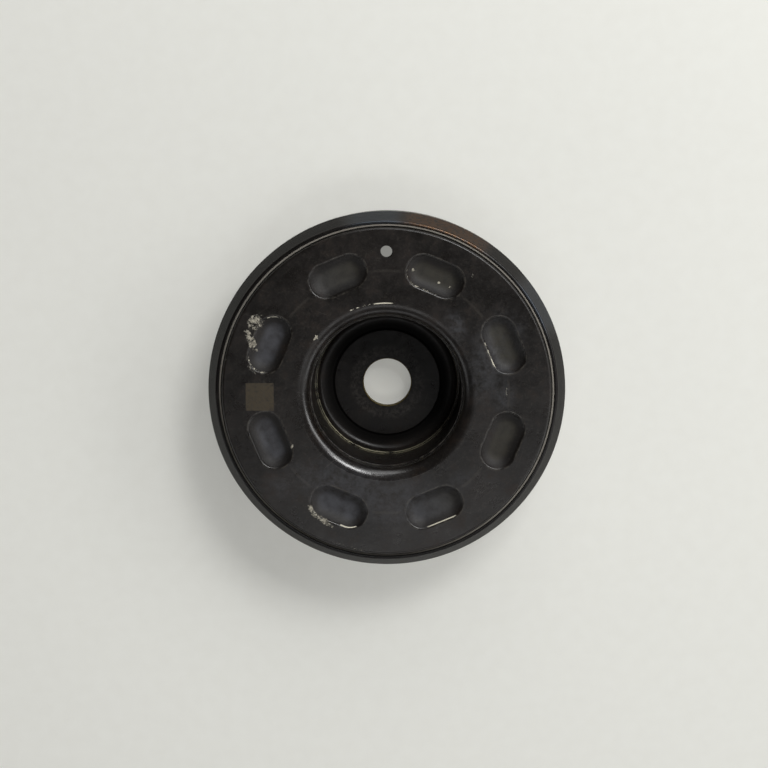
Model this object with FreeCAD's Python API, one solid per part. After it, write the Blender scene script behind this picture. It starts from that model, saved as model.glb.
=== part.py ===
import FreeCAD, Part
import math
import os

# Damped crankshaft pulley, lying on the rear edge of its belt ring with the front face up.
# All sizes are in millimetres. The axis of the pulley is Z, and z = 0 is the rear edge.
# A depth is measured back from the front plane of the web.

V = FreeCAD.Vector
AXIS = V(0, 0, 1)
ORIGIN = V(0, 0, 0)

# Belt ring
ring_depth = 38.0
front_flange_radius = 71.6
front_flange_rise = 1.2
rear_land_rise = 0.2
ring_wall = 2.9
rib_count = 6
rib_pitch = 3.56
rib_depth = 2.8
rib_flank_angle = 20.0
rib_root_flat = 0.5
ring_nose_depth = 2.0
ring_nose_flat = 1.0
ring_nose_inner_radius = 0.3
ring_nose_outer_radius = 1.3
bevel_corner_depth = 7.8
bevel_radius = 1.0
flange_land = 3.8
rear_chamfer = 0.6

# Rubber ring in the track between the hub disc and the belt ring
rubber_thickness = 1.3
rubber_front_recess = 0.3
rubber_rear_recess = 2.2

# Hub disc: the pressed sheet
sheet = 3.4
disc_edge_radius = 1.1
disc_inner_bend = 1.0
joggle_start = 8.2
joggle_step = 2.2
joggle_angle = 40.0
joggle_bend = 2.0
flange_rear_depth = 35.0
shoulder_radius = 5.0
cup_radius = 30.6
cup_floor_depth = 30.5
cup_outer_draft = 0.8
cup_corner_radius = 3.0
cup_rear_radius = 3.4

# Hub disc: the machined cup
bore_step_depth = 5.3
bore_top_radius = 30.1
bore_draft = 0.4
ledge_depth = 27.9
ledge_width = 0.9
ledge_bevel = 0.3
seat_radius = 21.6
seat_slope = 0.9
channel_depth = 0.8
hub_thickness = 3.6
hub_hole_radius = 9.8
hub_hole_chamfer = 0.3

# Hub disc: the pressed pockets and the timing hole
pocket_count = 8
pocket_circle_inset = 15.5
pocket_first_angle = 22.5
pocket_length = 23.6
pocket_width = 13.6
pocket_depth = 3.0
pocket_wall_slope = 2.4
pocket_lip_radius = 1.0
pocket_floor_radius = 6.0
pocket_back_radius = 6.5
pocket_drawn_wall = 1.2
pocket_drawn_floor = 2.9
pocket_root_radius = 1.0
pocket_margin = 0.4
timing_hole_radius = 2.3
timing_hole_inset = 9.5

# Radii that follow from the outside radius, one layer inside the other
rib_crest_radius = front_flange_radius - front_flange_rise
rib_root_radius = rib_crest_radius - rib_depth
track_radius = rib_root_radius - ring_wall - rubber_thickness
disc_radius = track_radius + joggle_step
rear_land_radius = rib_crest_radius + rear_land_rise
pocket_circle_radius = disc_radius - pocket_circle_inset
timing_hole_place = disc_radius - timing_hole_inset


def height(depth):
    """Height above the rear edge of a point that lies this far behind the web's front plane."""
    return ring_depth - depth


def arc_reaches(points, half_angles, radii):
    """How far each corner's arc reaches along its two sides, shared where two arcs meet on one side."""
    count = len(points)
    wanted = [radius / math.tan(half) for radius, half in zip(radii, half_angles)]
    shares = [1.0] * count
    for i in range(count):
        after = (i + 1) % count
        side = points[i].distanceToPoint(points[after])
        share = min(1.0, side / max(wanted[i] + wanted[after], side))
        shares[i] = min(shares[i], share)
        shares[after] = min(shares[after], share)
    return [reach * share for reach, share in zip(wanted, shares)]


def rounded_wire(corners):
    """Closed wire in the XZ plane through (x, z, radius) corners, with a tangent arc at each radius."""
    count = len(corners)
    points = [V(x, 0, z) for x, z, radius in corners]
    before = [(points[i - 1] - points[i]).normalize() for i in range(count)]
    after = [(points[(i + 1) % count] - points[i]).normalize() for i in range(count)]
    half_angles = [back.getAngle(ahead) / 2 for back, ahead in zip(before, after)]
    reaches = arc_reaches(points, half_angles, [radius for x, z, radius in corners])
    stretches = []
    for i, (here, half, reach) in enumerate(zip(points, half_angles, reaches)):
        if reach <= 0:
            stretches.append((here, None, here))
            continue
        radius = reach * math.tan(half)
        bisector = (before[i] + after[i]).normalize()
        middle = here + bisector * (radius / math.sin(half) - radius)
        stretches.append((here + before[i] * reach, middle, here + after[i] * reach))
    edges = []
    for i, (start, middle, end) in enumerate(stretches):
        if middle is not None:
            edges.append(Part.Arc(start, middle, end).toShape())
        following = stretches[(i + 1) % count][0]
        if end.distanceToPoint(following) > 1e-6:
            edges.append(Part.LineSegment(end, following).toShape())
    return Part.Wire(edges)


def section(corners):
    """Flat face in the XZ plane from (x, z, radius) corners."""
    return Part.Face(rounded_wire(corners))


def turned(corners):
    """Solid of revolution about the pulley's axis from a section in radius and height."""
    return section(corners).revolve(ORIGIN, AXIS, 360)


def track_corners(offset):
    """The two bends of the stepped rubber track, this far outside the hub disc's flange."""
    turn = math.radians(joggle_angle)
    mitre = offset * math.tan(turn / 2)
    front = disc_radius + offset
    rear = track_radius + offset
    front_depth = joggle_start + mitre
    rear_depth = front_depth + joggle_step / math.tan(turn)
    bend = joggle_bend
    return [(front, height(front_depth), bend), (rear, height(rear_depth), bend)]


def bevel_turn(nose_radius):
    """Angle through which the front bevel turns where it meets the flange land."""
    rise = front_flange_radius - nose_radius - ring_nose_flat
    run = bevel_corner_depth - ring_nose_depth
    return math.atan2(rise, run)


def belt_ring():
    """Turned ring with a rounded front bevel, a flange land, the rib grooves and a rear land."""
    inner = track_corners(rubber_thickness)
    nose_radius = inner[0][0]
    inner_radius = inner[1][0]
    nose = height(ring_nose_depth)
    bevel_corner = height(bevel_corner_depth)
    land_front = bevel_corner - bevel_radius * math.tan(bevel_turn(nose_radius) / 2)
    land_rear = land_front - flange_land
    flank = math.tan(math.radians(rib_flank_angle))
    groove_half_mouth = rib_root_flat / 2 + rib_depth * flank
    corners = [
        (nose_radius, nose, ring_nose_inner_radius),
        (nose_radius + ring_nose_flat, nose, ring_nose_outer_radius),
        (front_flange_radius, bevel_corner, bevel_radius),
        (front_flange_radius, land_rear, 0),
    ]
    flange_drop = front_flange_rise * flank
    first_groove = land_rear - flange_drop - groove_half_mouth
    for i in range(rib_count):
        middle = first_groove - i * rib_pitch
        if i > 0:
            corners.append((rib_crest_radius, middle + groove_half_mouth, 0))
        corners.append((rib_root_radius, middle + rib_root_flat / 2, 0))
        corners.append((rib_root_radius, middle - rib_root_flat / 2, 0))
        if i < rib_count - 1:
            corners.append((rib_crest_radius, middle - groove_half_mouth, 0))
    last_mouth = first_groove - (rib_count - 1) * rib_pitch - groove_half_mouth
    corners += [
        (rear_land_radius, last_mouth - rear_land_rise * flank, 0),
        (rear_land_radius, rear_chamfer, 0),
        (rear_land_radius - rear_chamfer, 0, 0),
        (inner_radius + rear_chamfer, 0, 0),
        (inner_radius, rear_chamfer, 0),
        inner[1],
        inner[0],
    ]
    return turned(corners)


def rubber_ring():
    """Rubber in the stepped track, with a rounded front edge that shows in the seam."""
    inner = track_corners(0)
    outer = track_corners(rubber_thickness)
    front = height(ring_nose_depth + rubber_front_recess)
    rear = height(flange_rear_depth) + rubber_rear_recess
    tip = rubber_thickness / 2
    corners = [
        (inner[0][0], front, tip),
        (outer[0][0], front, tip),
        outer[0],
        outer[1],
        (outer[1][0], rear, 0),
        (inner[1][0], rear, 0),
        inner[1],
        inner[0],
    ]
    return turned(corners)


def pressed_disc():
    """Sheet pressed to a web with a deep cup in the middle and a stepped flange at its edge."""
    outside = track_corners(0)
    inside = track_corners(-sheet)
    flange_rear = height(flange_rear_depth)
    web_rear = height(sheet)
    cup_outer = cup_radius + sheet
    hub_rear = height(cup_floor_depth + hub_thickness)
    channel = height(cup_floor_depth + channel_depth)
    lower_wall = bore_top_radius - bore_draft - ledge_width
    seat = height(cup_floor_depth)
    corners = [
        (hub_hole_radius, seat - hub_hole_chamfer, 0),
        (hub_hole_radius + hub_hole_chamfer, seat, 0),
        (seat_radius, seat, 0),
        (seat_radius + seat_slope, channel, 0),
        (lower_wall, channel, cup_corner_radius),
        (lower_wall, height(ledge_depth + ledge_bevel), 0),
        (lower_wall + ledge_bevel, height(ledge_depth), 0),
        (lower_wall + ledge_width, height(ledge_depth), 0),
        (bore_top_radius, height(bore_step_depth), 0),
        (cup_radius, height(bore_step_depth), 0),
        (cup_radius, height(0), shoulder_radius),
        (disc_radius, height(0), disc_edge_radius),
        outside[0],
        outside[1],
        (outside[1][0], flange_rear, 0),
        (inside[1][0], flange_rear, 0),
        inside[1],
        inside[0],
        (disc_radius - sheet, web_rear, disc_inner_bend),
        (cup_outer, web_rear, shoulder_radius - sheet),
        (cup_outer - cup_outer_draft, hub_rear, cup_rear_radius),
        (hub_hole_radius + hub_hole_chamfer, hub_rear, 0),
        (hub_hole_radius, hub_rear + hub_hole_chamfer, 0),
    ]
    return turned(corners)


def round_the_pocket(corners):
    """Carry half of a pocket's cross-section round its straight sides and its two round ends."""
    half_straight = (pocket_length - pocket_width) / 2
    half_section = section(corners)
    pieces = []
    for end in (0, 180):
        half_end = half_section.revolve(ORIGIN, AXIS, 180)
        half_end.rotate(ORIGIN, AXIS, -90)
        half_end.translate(V(half_straight, 0, 0))
        half_end.rotate(ORIGIN, AXIS, end)
        side = half_section.copy()
        side.rotate(ORIGIN, AXIS, 90 + end)
        side.translate(V(-half_straight, 0, 0))
        pieces.append(half_end)
        pieces.append(side.extrude(V(2 * half_straight, 0, 0)))
    return pieces[0].fuse(pieces[1:]).removeSplitter()


def placed_in_web(shape, index):
    """Move a pocket's shape out to the pocket circle and turn it to its own place on the web."""
    copy = shape.copy()
    copy.rotate(ORIGIN, AXIS, 90)
    copy.translate(V(pocket_circle_radius, 0, 0))
    copy.rotate(ORIGIN, AXIS, pocket_first_angle + index * 360.0 / pocket_count)
    return copy


def pocket_patch_half_width():
    """Half the width of the patch of web that a pressed pocket takes up, with its flat margin."""
    rear_edge = pocket_drawn_wall + pocket_root_radius
    return pocket_width / 2 + max(rear_edge, pocket_lip_radius) + pocket_margin


def pocket_opening():
    """The web's full thickness inside the outline of one pocket's patch."""
    edge = pocket_patch_half_width()
    front = height(0)
    rear = height(sheet)
    return round_the_pocket([(0, rear, 0), (edge, rear, 0), (edge, front, 0), (0, front, 0)])


def pressed_pocket():
    """A closed pocket drawn back from the web, with a rounded lip, a sloped wall and a soft floor."""
    half = pocket_width / 2
    front = height(0)
    rear = height(sheet)
    edge = pocket_patch_half_width()
    floor = height(pocket_depth)
    slope = pocket_wall_slope
    outer_wall = half + pocket_drawn_wall
    corners = [
        (0, floor, 0),
        (half - slope, floor, pocket_floor_radius),
        (half, front, pocket_lip_radius),
        (edge, front, 0),
        (edge, rear, 0),
        (outer_wall, rear, pocket_root_radius),
        (outer_wall - slope, floor - pocket_drawn_floor, pocket_back_radius),
        (0, floor - pocket_drawn_floor, 0),
    ]
    return round_the_pocket(corners)


def hub_disc():
    """The pressed and machined disc: web, cup, pockets, centre hole and timing hole."""
    disc = pressed_disc()
    opening = pocket_opening()
    pocket = pressed_pocket()
    openings = [placed_in_web(opening, i) for i in range(pocket_count)]
    pockets = [placed_in_web(pocket, i) for i in range(pocket_count)]
    disc = disc.cut(openings)
    disc = disc.fuse(pockets).removeSplitter()
    timing_hole_foot = V(0, timing_hole_place, height(2 * sheet))
    timing_hole = Part.makeCylinder(timing_hole_radius, 3 * sheet, timing_hole_foot)
    return disc.cut(timing_hole)


parts = {
    "hub_disc": hub_disc(),
    "rubber_ring": rubber_ring(),
    "belt_ring": belt_ring(),
}

os.makedirs("parts", exist_ok=True)
for name, shape in parts.items():
    solid = shape.Solids[0]
    volume = round(solid.Volume / 1000, 2)
    print(name, "solids", len(shape.Solids), "valid", shape.isValid(), "volume", volume, "cm3")
    solid.exportStep("parts/" + name + ".step")
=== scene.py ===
import logging
import math
from dataclasses import dataclass, field
from enum import Enum
from typing import Any, Iterable, Mapping, Optional, Sequence

import bmesh
import bpy
import numpy as np
from mathutils import Matrix, Vector
from mathutils.geometry import delaunay_2d_cdt


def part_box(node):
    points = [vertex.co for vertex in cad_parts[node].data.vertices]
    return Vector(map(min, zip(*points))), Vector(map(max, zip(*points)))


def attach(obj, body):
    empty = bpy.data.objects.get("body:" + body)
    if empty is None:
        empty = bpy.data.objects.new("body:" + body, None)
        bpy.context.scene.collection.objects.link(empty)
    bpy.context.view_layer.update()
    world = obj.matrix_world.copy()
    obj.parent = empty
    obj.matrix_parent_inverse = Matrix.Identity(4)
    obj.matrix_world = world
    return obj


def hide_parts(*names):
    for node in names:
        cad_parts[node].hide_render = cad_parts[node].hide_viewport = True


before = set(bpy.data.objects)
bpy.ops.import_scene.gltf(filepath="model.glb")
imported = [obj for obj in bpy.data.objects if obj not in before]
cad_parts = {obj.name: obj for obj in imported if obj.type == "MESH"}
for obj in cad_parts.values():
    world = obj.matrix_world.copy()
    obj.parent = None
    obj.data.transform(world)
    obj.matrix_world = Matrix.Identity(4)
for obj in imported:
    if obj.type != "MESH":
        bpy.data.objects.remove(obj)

LOG = logging.getLogger("crankshaft_pulley")

MM = 0.001
PER_M = 1000.0
FULL_TURN = 360.0
MERGE_MM = 0.002

Point = tuple[float, float]
Corner = tuple[float, float, float]
Colour = tuple[float, float, float, float]


def linear(code: str) -> Colour:
    """Turns an sRGB hex colour into linear light.

    Args:
        code: a colour such as "#1b1715".

    Returns:
        Red, green, blue and an alpha of 1, all linear.
    """
    parts = [int(code[i:i + 2], 16) / 255 for i in (1, 3, 5)]
    lit = [c / 12.92 if c <= 0.04045 else ((c + 0.055) / 1.055) ** 2.4 for c in parts]
    return lit[0], lit[1], lit[2], 1.0


class Graph:
    """One node tree, filled a node at a time."""

    def __init__(self, tree: bpy.types.NodeTree) -> None:
        """Keeps the tree that the nodes go into."""
        self.tree = tree

    def add(self, kind: str, wires: Optional[Mapping[Any, Any]] = None, **settings: Any) -> bpy.types.Node:
        """Adds a node with its settings and links.

        Args:
            kind: the node's type name.
            wires: what goes into each input, by its name or number: a node, a socket or a plain value.
            settings: the node's own properties.

        Returns:
            The new node.
        """
        node = self.tree.nodes.new(kind)
        for name, value in settings.items():
            setattr(node, name, value)
        for key, value in (wires or {}).items():
            if isinstance(value, bpy.types.Node):
                value = value.outputs[0]
            if isinstance(value, bpy.types.NodeSocket):
                self.tree.links.new(value, node.inputs[key])
            else:
                node.inputs[key].default_value = value
        return node


MATH = "ShaderNodeMath"
RANGE = "ShaderNodeMapRange"
MIX = "ShaderNodeMix"
NOISE = "ShaderNodeTexNoise"
VECTOR = "ShaderNodeVectorMath"


@dataclass(frozen=True)
class Place:
    """Sockets that say where a shaded point lies, in millimetres and degrees."""

    vector: Any
    x: Any
    y: Any
    height: Any
    radius: Any
    angle: Any


class Share(Enum):
    """How two masks go together."""

    BOTH = "MULTIPLY"
    EITHER = "MAXIMUM"


class Rubbed(Enum):
    """What a worn or marked place follows."""

    LIP = "the rounded lip of a pocket"
    EDGE = "the thin line where a pocket's wall begins"
    PATCH = "a free oval on the web"
    # Scuffed ovals that are also painted lighter as a painted sheen, most widely over the right and lower
    # web.
    HAZE = "a soft, finely scuffed oval on the web"


@dataclass(frozen=True)
class Rub:
    """A worn, chipped or scuffed place, in millimetres from the pulley's axis."""

    kind: Rubbed
    x: float
    y: float
    length: float
    width: float
    turn: float
    cover: float
    grain: float = 1.1


@dataclass(frozen=True)
class Finish:
    """A surface finish: the real material, how it was made, and its node material."""

    title: str = "finish"

    def material(self) -> bpy.types.Material:
        """Builds the material.

        Returns:
            A node material with one principled shader.
        """
        made = bpy.data.materials.new(self.title)
        made.use_nodes = True
        made.node_tree.nodes.clear()
        graph = Graph(made.node_tree)
        shader = graph.add("ShaderNodeBsdfPrincipled")
        graph.add("ShaderNodeOutputMaterial", {"Surface": shader})
        self.dress(graph, shader, self.place(graph))
        return made

    def dress(self, graph: Graph, shader: bpy.types.Node, place: Place) -> None:
        """Gives the shader its colour, gloss and relief."""
        raise NotImplementedError

    def place(self, graph: Graph) -> Place:
        """Works out a point's place from the piece's own coordinates.

        Args:
            graph: the material's nodes.

        Returns:
            Its place in millimetres and degrees.
        """
        own = graph.add("ShaderNodeTexCoord").outputs["Object"]
        vector = graph.add(VECTOR, {0: own, "Scale": PER_M}, operation="SCALE").outputs[0]
        parts = graph.add("ShaderNodeSeparateXYZ", {0: vector}).outputs
        flat = graph.add(VECTOR, {0: vector, 1: (1, 1, 0)}, operation="MULTIPLY")
        radius = graph.add(VECTOR, {0: flat}, operation="LENGTH").outputs["Value"]
        turn = graph.add(MATH, {0: parts[1], 1: parts[0]}, operation="ARCTAN2")
        angle = graph.add(MATH, {0: turn}, operation="DEGREES").outputs[0]
        return Place(vector, parts[0], parts[1], parts[2], radius, angle)

    def ramp(self, graph: Graph, value: Any, low: float, high: float, to: float = 1.0) -> Any:
        """Rises softly from nothing at one value to its full amount at another.

        Args:
            graph: the material's nodes.
            value: what is measured.
            low: the value with nothing.
            high: the value with the full amount, which may be the lower of the two.
            to: the full amount.

        Returns:
            The amount's socket.
        """
        wires = {0: value, 1: low, 2: high, 3: 0.0, 4: to}
        if low > high:
            wires = {0: value, 1: high, 2: low, 3: to, 4: 0.0}
        return graph.add(RANGE, wires, interpolation_type="SMOOTHSTEP").outputs[0]

    def band(self, graph: Graph, value: Any, middle: float, half: float, soft: float) -> Any:
        """Covers a stretch of values round a middle one.

        Args:
            graph: the material's nodes.
            value: what is measured.
            middle: the middle of the stretch.
            half: half its width.
            soft: how far its two edges fade.

        Returns:
            A mask's socket.
        """
        away = graph.add(MATH, {0: value, 1: middle}, operation="SUBTRACT")
        away = graph.add(MATH, {0: away}, operation="ABSOLUTE")
        return self.ramp(graph, away.outputs[0], half + soft, half)

    def joined(self, graph: Graph, share: Share, *masks: Any) -> Any:
        """Puts masks together.

        Args:
            graph: the material's nodes.
            share: whether a point needs all of the masks or one of them.
            masks: the masks' sockets or plain amounts.

        Returns:
            The joint mask's socket.
        """
        whole = masks[0]
        for mask in masks[1:]:
            whole = graph.add(MATH, {0: whole, 1: mask}, operation=share.value).outputs[0]
        return whole

    def noise(self, graph: Graph, vector: Any, grain: float, detail: float = 3.0, rough: float = 0.55) -> Any:
        """Even noise with grains of a real size.

        Args:
            graph: the material's nodes.
            vector: a place in millimetres.
            grain: the size of a grain in millimetres.
            detail: how many finer layers it has.
            rough: how strong the finer layers are.

        Returns:
            A socket from 0 to 1, mostly near a half.
        """
        wires = {"Vector": vector, "Scale": 1 / grain, "Detail": detail, "Roughness": rough}
        return graph.add(NOISE, wires).outputs[0]

    def over(self, graph: Graph, under: Any, mask: Any, colour: Any) -> Any:
        """Lays a colour over another where a mask says.

        Args:
            graph: the material's nodes.
            under: the colour so far.
            mask: how much of the new colour shows.
            colour: the new colour, a hex code or a socket.

        Returns:
            The mixed colour's socket.
        """
        top = linear(colour) if isinstance(colour, str) else colour
        low = linear(under) if isinstance(under, str) else under
        return graph.add(MIX, {0: mask, 6: low, 7: top}, data_type="RGBA").outputs[2]

    def level(self, graph: Graph, under: Any, mask: Any, amount: float) -> Any:
        """Moves a plain amount, such as roughness, towards another where a mask says."""
        return graph.add(MIX, {0: mask, 2: under, 3: amount}, data_type="FLOAT").outputs[0]

    def relief(self, graph: Graph, shader: bpy.types.Node, height: Any, strength: float) -> None:
        """Gives the shader a relief whose height is in millimetres."""
        bump = graph.add("ShaderNodeBump", {"Height": height, "Distance": MM, "Strength": strength})
        graph.tree.links.new(bump.outputs[0], shader.inputs["Normal"])


@dataclass(frozen=True)
class DippedSteel(Finish):
    """Deep-drawn steel with a black dip coat: satin, thin at the lips, scuffed, dusty and chipped, with
    painted sheen, painted shade and painted highlights laid on.
    """

    title: str = "black_dip_coat_on_drawn_steel"
    coat: str = "#13100e"
    coat_worn: str = "#231f1d"
    rust_film: str = "#241910"
    lip_wear: str = "#57534c"
    chip: str = "#b9b3a2"
    chip_grey: str = "#7d786c"
    bright_edge: str = "#dcd6c3"
    dust: str = "#4a463f"
    scuff_and_sheen: str = "#4b4c50"
    pocket_dust_and_shade_right: str = "#36332a"
    pocket_dust_and_sheen_left: str = "#4c4d52"
    ledge: str = "#98937c"
    hole_wall: str = "#8d7c47"
    seat_scuff: str = "#4a4642"
    grime_and_shade: str = "#0a0908"
    seat_painted_shade: str = "#0d0b0a"
    mark: str = "#443b2b"
    coat_roughness: float = 0.27
    worn_roughness: float = 0.42
    dusty_roughness: float = 0.50
    pocket_roughness: float = 0.62
    chip_roughness: float = 0.75
    bare_roughness: float = 0.36
    coat_gloss: float = 0.5
    cup_gloss: float = 0.28
    grime_and_shade_gloss: float = 0.10
    front_depth: float = 6.5
    hole_radius: float = 9.8
    grime_and_shade_inner: float = 23.4
    grime_and_shade_outer: float = 27.6
    ledge_highlight_angle: float = -118.0
    arc_angle: float = 100.0
    arc_solid_angle: float = 91.0
    rolled_radius: float = 33.2
    rolled_angle: float = -115.0
    rolled_roughness: float = 0.23
    rolled_gloss: float = 0.85
    pockets: int = 8
    first_pocket: float = 22.5
    pocket_circle: float = 50.1
    pocket_half_width: float = 6.8
    pocket_half_straight: float = 5.0
    web_height: float = 38.0
    seat_height: float = 7.5
    seat_radius: float = 21.6
    ledge_height: float = 10.1
    ledge_inner: float = 28.95
    ledge_outer: float = 29.6
    step_height: float = 32.7
    step_radius: float = 30.35
    shoulder_radius: float = 35.8
    crease_highlight_radius: float = 48.6
    bolt_radius: float = 15.6
    mark_centre: Point = (-50.3, -1.7)
    mark_half: float = 5.4
    rubs: tuple[Rub, ...] = (
        Rub(Rubbed.PATCH, -51.6, 28.2, 10.5, 8.0, 35.0, 0.70, 1.5),
        Rub(Rubbed.PATCH, -53.6, 20.8, 13.0, 4.6, 112.0, 0.74, 1.2),
        Rub(Rubbed.EDGE, -52.0, 9.5, 16.0, 9.0, 125.0, 0.72, 1.2),
        Rub(Rubbed.LIP, -53.5, 8.5, 9.0, 4.0, 120.0, 0.60, 0.6),
        Rub(Rubbed.EDGE, -44.8, 30.4, 9.0, 5.0, 160.0, 0.8, 1.5),
        Rub(Rubbed.PATCH, -27.9, 22.0, 3.4, 1.1, 50.0, 1.0, 0.6),
        Rub(Rubbed.PATCH, -27.6, 22.3, 2.4, 0.8, 120.0, 1.0, 0.6),
        Rub(Rubbed.PATCH, -26.0, 27.5, 4.5, 1.3, 130.0, 0.35, 0.6),
        Rub(Rubbed.LIP, -27.5, -49.5, 15.0, 6.0, 135.0, 0.70, 0.9),
        Rub(Rubbed.PATCH, -24.0, -53.0, 9.0, 2.2, 150.0, 0.72, 0.8),
        Rub(Rubbed.EDGE, -30.0, -48.5, 9.0, 5.0, 100.0, 0.70, 1.2),
        Rub(Rubbed.EDGE, -15.5, -54.2, 9.0, 3.0, 175.0, 1.0, 4.0),
        # An even pale straight line along the bottom-right pocket's lower wall: partly bare metal, partly a
        # painted highlight of the wall's edge.
        Rub(Rubbed.EDGE, 22.3, -51.9, 15.5, 3.0, 21.5, 1.0, 30.0),
        Rub(Rubbed.EDGE, 14.0, 41.6, 16.0, 6.0, 155.0, 0.62, 1.6),
        Rub(Rubbed.LIP, 12.0, 42.6, 2.6, 1.2, 157.0, 0.95, 0.9),
        Rub(Rubbed.EDGE, 7.6, 47.0, 8.0, 3.0, 70.0, 0.6, 0.9),
        Rub(Rubbed.EDGE, 40.5, 15.5, 19.0, 7.0, 115.0, 0.75, 2.0),
        Rub(Rubbed.PATCH, -37.6, -21.7, 2.6, 1.2, 60.0, 0.9, 0.7),
        Rub(Rubbed.PATCH, 33.8, 46.8, 2.0, 0.9, 75.0, 0.8, 0.8),
        Rub(Rubbed.PATCH, -62.9, 17.0, 24.0, 1.8, 75.0, 0.42, 0.7),
        Rub(Rubbed.PATCH, -15.8, -62.3, 22.0, 1.5, 164.0, 0.50, 0.7),
        Rub(Rubbed.PATCH, 20.7, 43.7, 1.7, 1.2, 10.0, 1.0, 2.0),
        Rub(Rubbed.PATCH, 10.5, 48.7, 2.0, 1.5, 80.0, 0.75, 1.6),
        Rub(Rubbed.PATCH, 25.0, 42.0, 1.3, 1.0, 30.0, 0.8, 1.6),
        Rub(Rubbed.PATCH, 47.7, -0.4, 8.0, 0.8, 90.0, 0.55, 0.5),
        # Scuffed ovals, lighter in colour as painted sheen; the three widest ones grey the right and lower
        # web.
        Rub(Rubbed.HAZE, 46.5, -1.0, 15.0, 11.0, 80.0, 0.75),
        Rub(Rubbed.HAZE, 27.5, 27.0, 15.0, 9.0, 120.0, 0.9),
        Rub(Rubbed.HAZE, -21.5, -37.0, 20.0, 13.0, 150.0, 0.9),
        Rub(Rubbed.HAZE, -42.0, -38.0, 16.0, 9.0, 130.0, 0.5),
        Rub(Rubbed.HAZE, 28.0, -37.0, 20.0, 10.0, 40.0, 0.4),
        Rub(Rubbed.HAZE, 8.0, -47.0, 14.0, 10.0, 90.0, 0.6),
        Rub(Rubbed.HAZE, 52.0, 26.0, 12.0, 7.0, 60.0, 0.4),
        Rub(Rubbed.HAZE, 42.0, 14.0, 46.0, 24.0, 70.0, 0.75),
        Rub(Rubbed.HAZE, -14.0, -38.0, 60.0, 24.0, 165.0, 0.9),
        Rub(Rubbed.HAZE, 4.0, -44.0, 50.0, 26.0, 0.0, 0.8),
    )

    def pocket_distance(self, graph: Graph, place: Place) -> Any:
        """Distance from the nearest pocket's outline, less than 0 inside, in millimetres."""
        step = FULL_TURN / self.pockets
        turn = graph.add(MATH, {0: place.angle, 1: self.first_pocket}, operation="SUBTRACT")
        turn = graph.add(MATH, {0: turn, 1: step}, operation="DIVIDE")
        whole = graph.add(MATH, {0: turn}, operation="ROUND")
        share = graph.add(MATH, {0: turn, 1: whole}, operation="SUBTRACT")
        local = graph.add(MATH, {0: share, 1: math.radians(step)}, operation="MULTIPLY")
        cosine = graph.add(MATH, {0: local}, operation="COSINE")
        sine = graph.add(MATH, {0: local}, operation="SINE")
        out = graph.add(MATH, {0: place.radius, 1: cosine}, operation="MULTIPLY")
        out = graph.add(MATH, {0: out, 1: self.pocket_circle}, operation="SUBTRACT")
        along = graph.add(MATH, {0: place.radius, 1: sine}, operation="MULTIPLY")
        along = graph.add(MATH, {0: along}, operation="ABSOLUTE")
        past = graph.add(MATH, {0: along, 1: self.pocket_half_straight}, operation="SUBTRACT")
        past = graph.add(MATH, {0: past, 1: 0.0}, operation="MAXIMUM")
        pair = graph.add("ShaderNodeCombineXYZ", {0: out, 1: past})
        away = graph.add(VECTOR, {0: pair}, operation="LENGTH").outputs["Value"]
        return graph.add(MATH, {0: away, 1: self.pocket_half_width}, operation="SUBTRACT").outputs[0]

    def oval(self, graph: Graph, place: Place, rub: Rub) -> Any:
        """A rub's soft oval, before its flakes."""
        wires = {"Vector": place.vector, "Location": (rub.x, rub.y, 0),
                 "Rotation": (0, 0, math.radians(rub.turn)), "Scale": (rub.length / 2, rub.width / 2, 1e6)}
        local = graph.add("ShaderNodeMapping", wires, vector_type="TEXTURE")
        away = graph.add(VECTOR, {0: local}, operation="LENGTH").outputs["Value"]
        edge = 0.2 if rub.kind is Rubbed.HAZE else 0.55
        return self.ramp(graph, away, 1.15, edge)

    def chips_of(self, graph: Graph, place: Place, kind: Rubbed, within: Any) -> Any:
        """How much bare or scuffed metal shows at a point.

        Args:
            graph: the material's nodes.
            place: the point's place.
            kind: which rubs are wanted.
            within: the mask of the surface they lie on.

        Returns:
            The mask's socket.
        """
        whole = 0.0
        for rub in self.rubs:
            if rub.kind is not kind:
                continue
            oval = self.oval(graph, place, rub)
            flakes = self.noise(graph, place.vector, rub.grain * 1.3, 8.0, 0.82)
            need = graph.add(MATH, {0: oval, 1: -0.40 * rub.cover, 2: 0.76}, operation="MULTIPLY_ADD")
            over = graph.add(MATH, {0: flakes, 1: need}, operation="SUBTRACT").outputs[0]
            mask = self.joined(graph, Share.BOTH, self.ramp(graph, over, 0.0, 0.06), oval)
            whole = self.joined(graph, Share.EITHER, mask, whole)
        return self.joined(graph, Share.BOTH, whole, within)

    def scuff_and_sheen_of(self, graph: Graph, place: Place, front: Any) -> Any:
        """How finely scuffed the coat is at a point, which also sets where a lighter painted sheen goes."""
        cloud = self.ramp(graph, self.noise(graph, place.vector, 2.6, 5.0, 0.7), 0.30, 0.70)
        whole = 0.0
        for rub in self.rubs:
            if rub.kind is Rubbed.HAZE:
                mask = self.joined(graph, Share.BOTH, self.oval(graph, place, rub), cloud, rub.cover)
                whole = self.joined(graph, Share.EITHER, mask, whole)
        return self.joined(graph, Share.BOTH, whole, front)

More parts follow.
